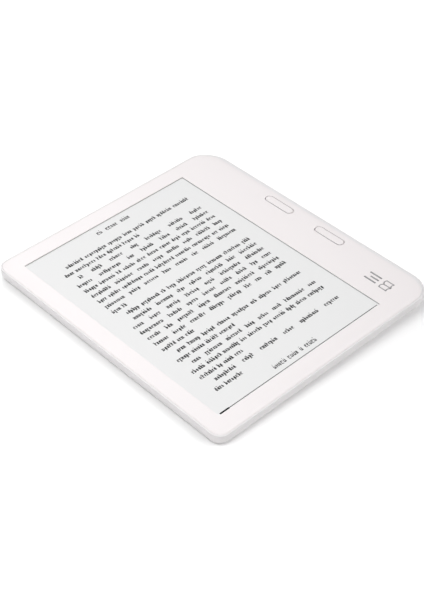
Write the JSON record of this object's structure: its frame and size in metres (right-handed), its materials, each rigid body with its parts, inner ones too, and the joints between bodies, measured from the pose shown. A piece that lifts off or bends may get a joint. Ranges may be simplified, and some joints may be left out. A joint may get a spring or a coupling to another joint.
{
  "type": "e-reader",
  "caption": "Flat white e-reader with a recessed paper-like screen, a wide side grip with sprung page buttons, and a sprung power button on its back.",
  "frame": {"origin": "under the middle of the body's outline, level with the flat of the grip's back", "axes": "+X towards the grip, +Y up the page, +Z out of the screen"},
  "size_m": [0.1446, 0.1616, 0.009],
  "materials": {
    "bezel_plastic": "fine satin, white with a trace of pink",
    "shell_plastic": "matt white with a fine dotted texture on the back",
    "button_plastic": "satin",
    "screen_film": "etched anti-glare film over grey-white electronic paper",
    "panel": "matt",
    "clear_plastic": "clear, polished",
    "black_foam": "matt",
    "silicone": "matt, translucent grey",
    "magnesium": "die cast, satin",
    "steel": "plated, bright",
    "circuit_board": "green solder mask",
    "chip_black": "moulded epoxy",
    "flex_film": "amber polyimide over copper",
    "connector_plastic": "ivory, moulded",
    "battery_pouch": "laminated foil, satin",
    "cable_black": "satin",
    "magnet_nickel": "nickel plated"
  },
  "bodies": {
    "reader_body": {"rear_shell": "shell_plastic", "front_bezel": "bezel_plastic", "perimeter_gasket": "silicone", "display_frame": "magnesium", "epaper_panel": "panel", "front_light_guide": "clear_plastic", "touch_film": "screen_film", "window_gasket": "black_foam", "light_bar": "connector_plastic", "display_ribbon": "flex_film", "touch_and_light_ribbon": "flex_film", "page_switch_upper": "chip_black", "page_switch_lower": "chip_black", "power_switch": "chip_black", "power_light_pipe": "clear_plastic", "power_light": "connector_plastic", "grip_board": "circuit_board", "charging_port_shell": "steel", "charging_port_tongue": "chip_black", "grip_flex": "flex_film", "main_board": "circuit_board", "processor": "chip_black", "memory": "chip_black", "flash_storage": "chip_black", "power_manager": "chip_black", "screen_power_chip": "chip_black", "hall_sensor": "chip_black", "wireless_can": "steel", "battery_socket": "connector_plastic", "display_socket": "connector_plastic", "touch_socket": "connector_plastic", "wireless_antenna": "flex_film", "antenna_cable": "cable_black", "battery": "battery_pouch", "battery_guard_board": "circuit_board", "battery_lead": "cable_black", "cover_magnet_1": "magnet_nickel", "cover_magnet_2": "magnet_nickel", "cover_magnet_3": "magnet_nickel", "cover_magnet_4": "magnet_nickel", "frame_screw_1": "steel", "frame_screw_2": "steel", "frame_screw_3": "steel", "frame_screw_4": "steel", "frame_screw_5": "steel", "frame_screw_6": "steel", "grip_board_screw_1": "steel", "grip_board_screw_2": "steel", "grip_board_screw_3": "steel", "main_board_screw_1": "steel", "main_board_screw_2": "steel", "main_board_screw_3": "steel"},
    "upper_button_body": {"page_button_upper": "button_plastic", "page_button_upper_pad": "silicone", "page_switch_upper_stem": "silicone"},
    "lower_button_body": {"page_button_lower": "button_plastic", "page_button_lower_pad": "silicone", "page_switch_lower_stem": "silicone"},
    "power_button_body": {"power_button": "button_plastic", "power_switch_stem": "silicone"}
  },
  "joints": [
    {"name": "page_button_upper_press", "type": "slide", "parent": "reader_body", "child": "upper_button_body", "axis": [0, 0, -1], "range_m": [0, 0.0005], "stiffness_N_per_m": 2500},
    {"name": "page_button_lower_press", "type": "slide", "parent": "reader_body", "child": "lower_button_body", "axis": [0, 0, -1], "range_m": [0, 0.0005], "stiffness_N_per_m": 2500},
    {"name": "power_button_press", "type": "slide", "parent": "reader_body", "child": "power_button_body", "axis": [0, 0, 1], "range_m": [0, 0.0004], "stiffness_N_per_m": 4000}
  ]
}
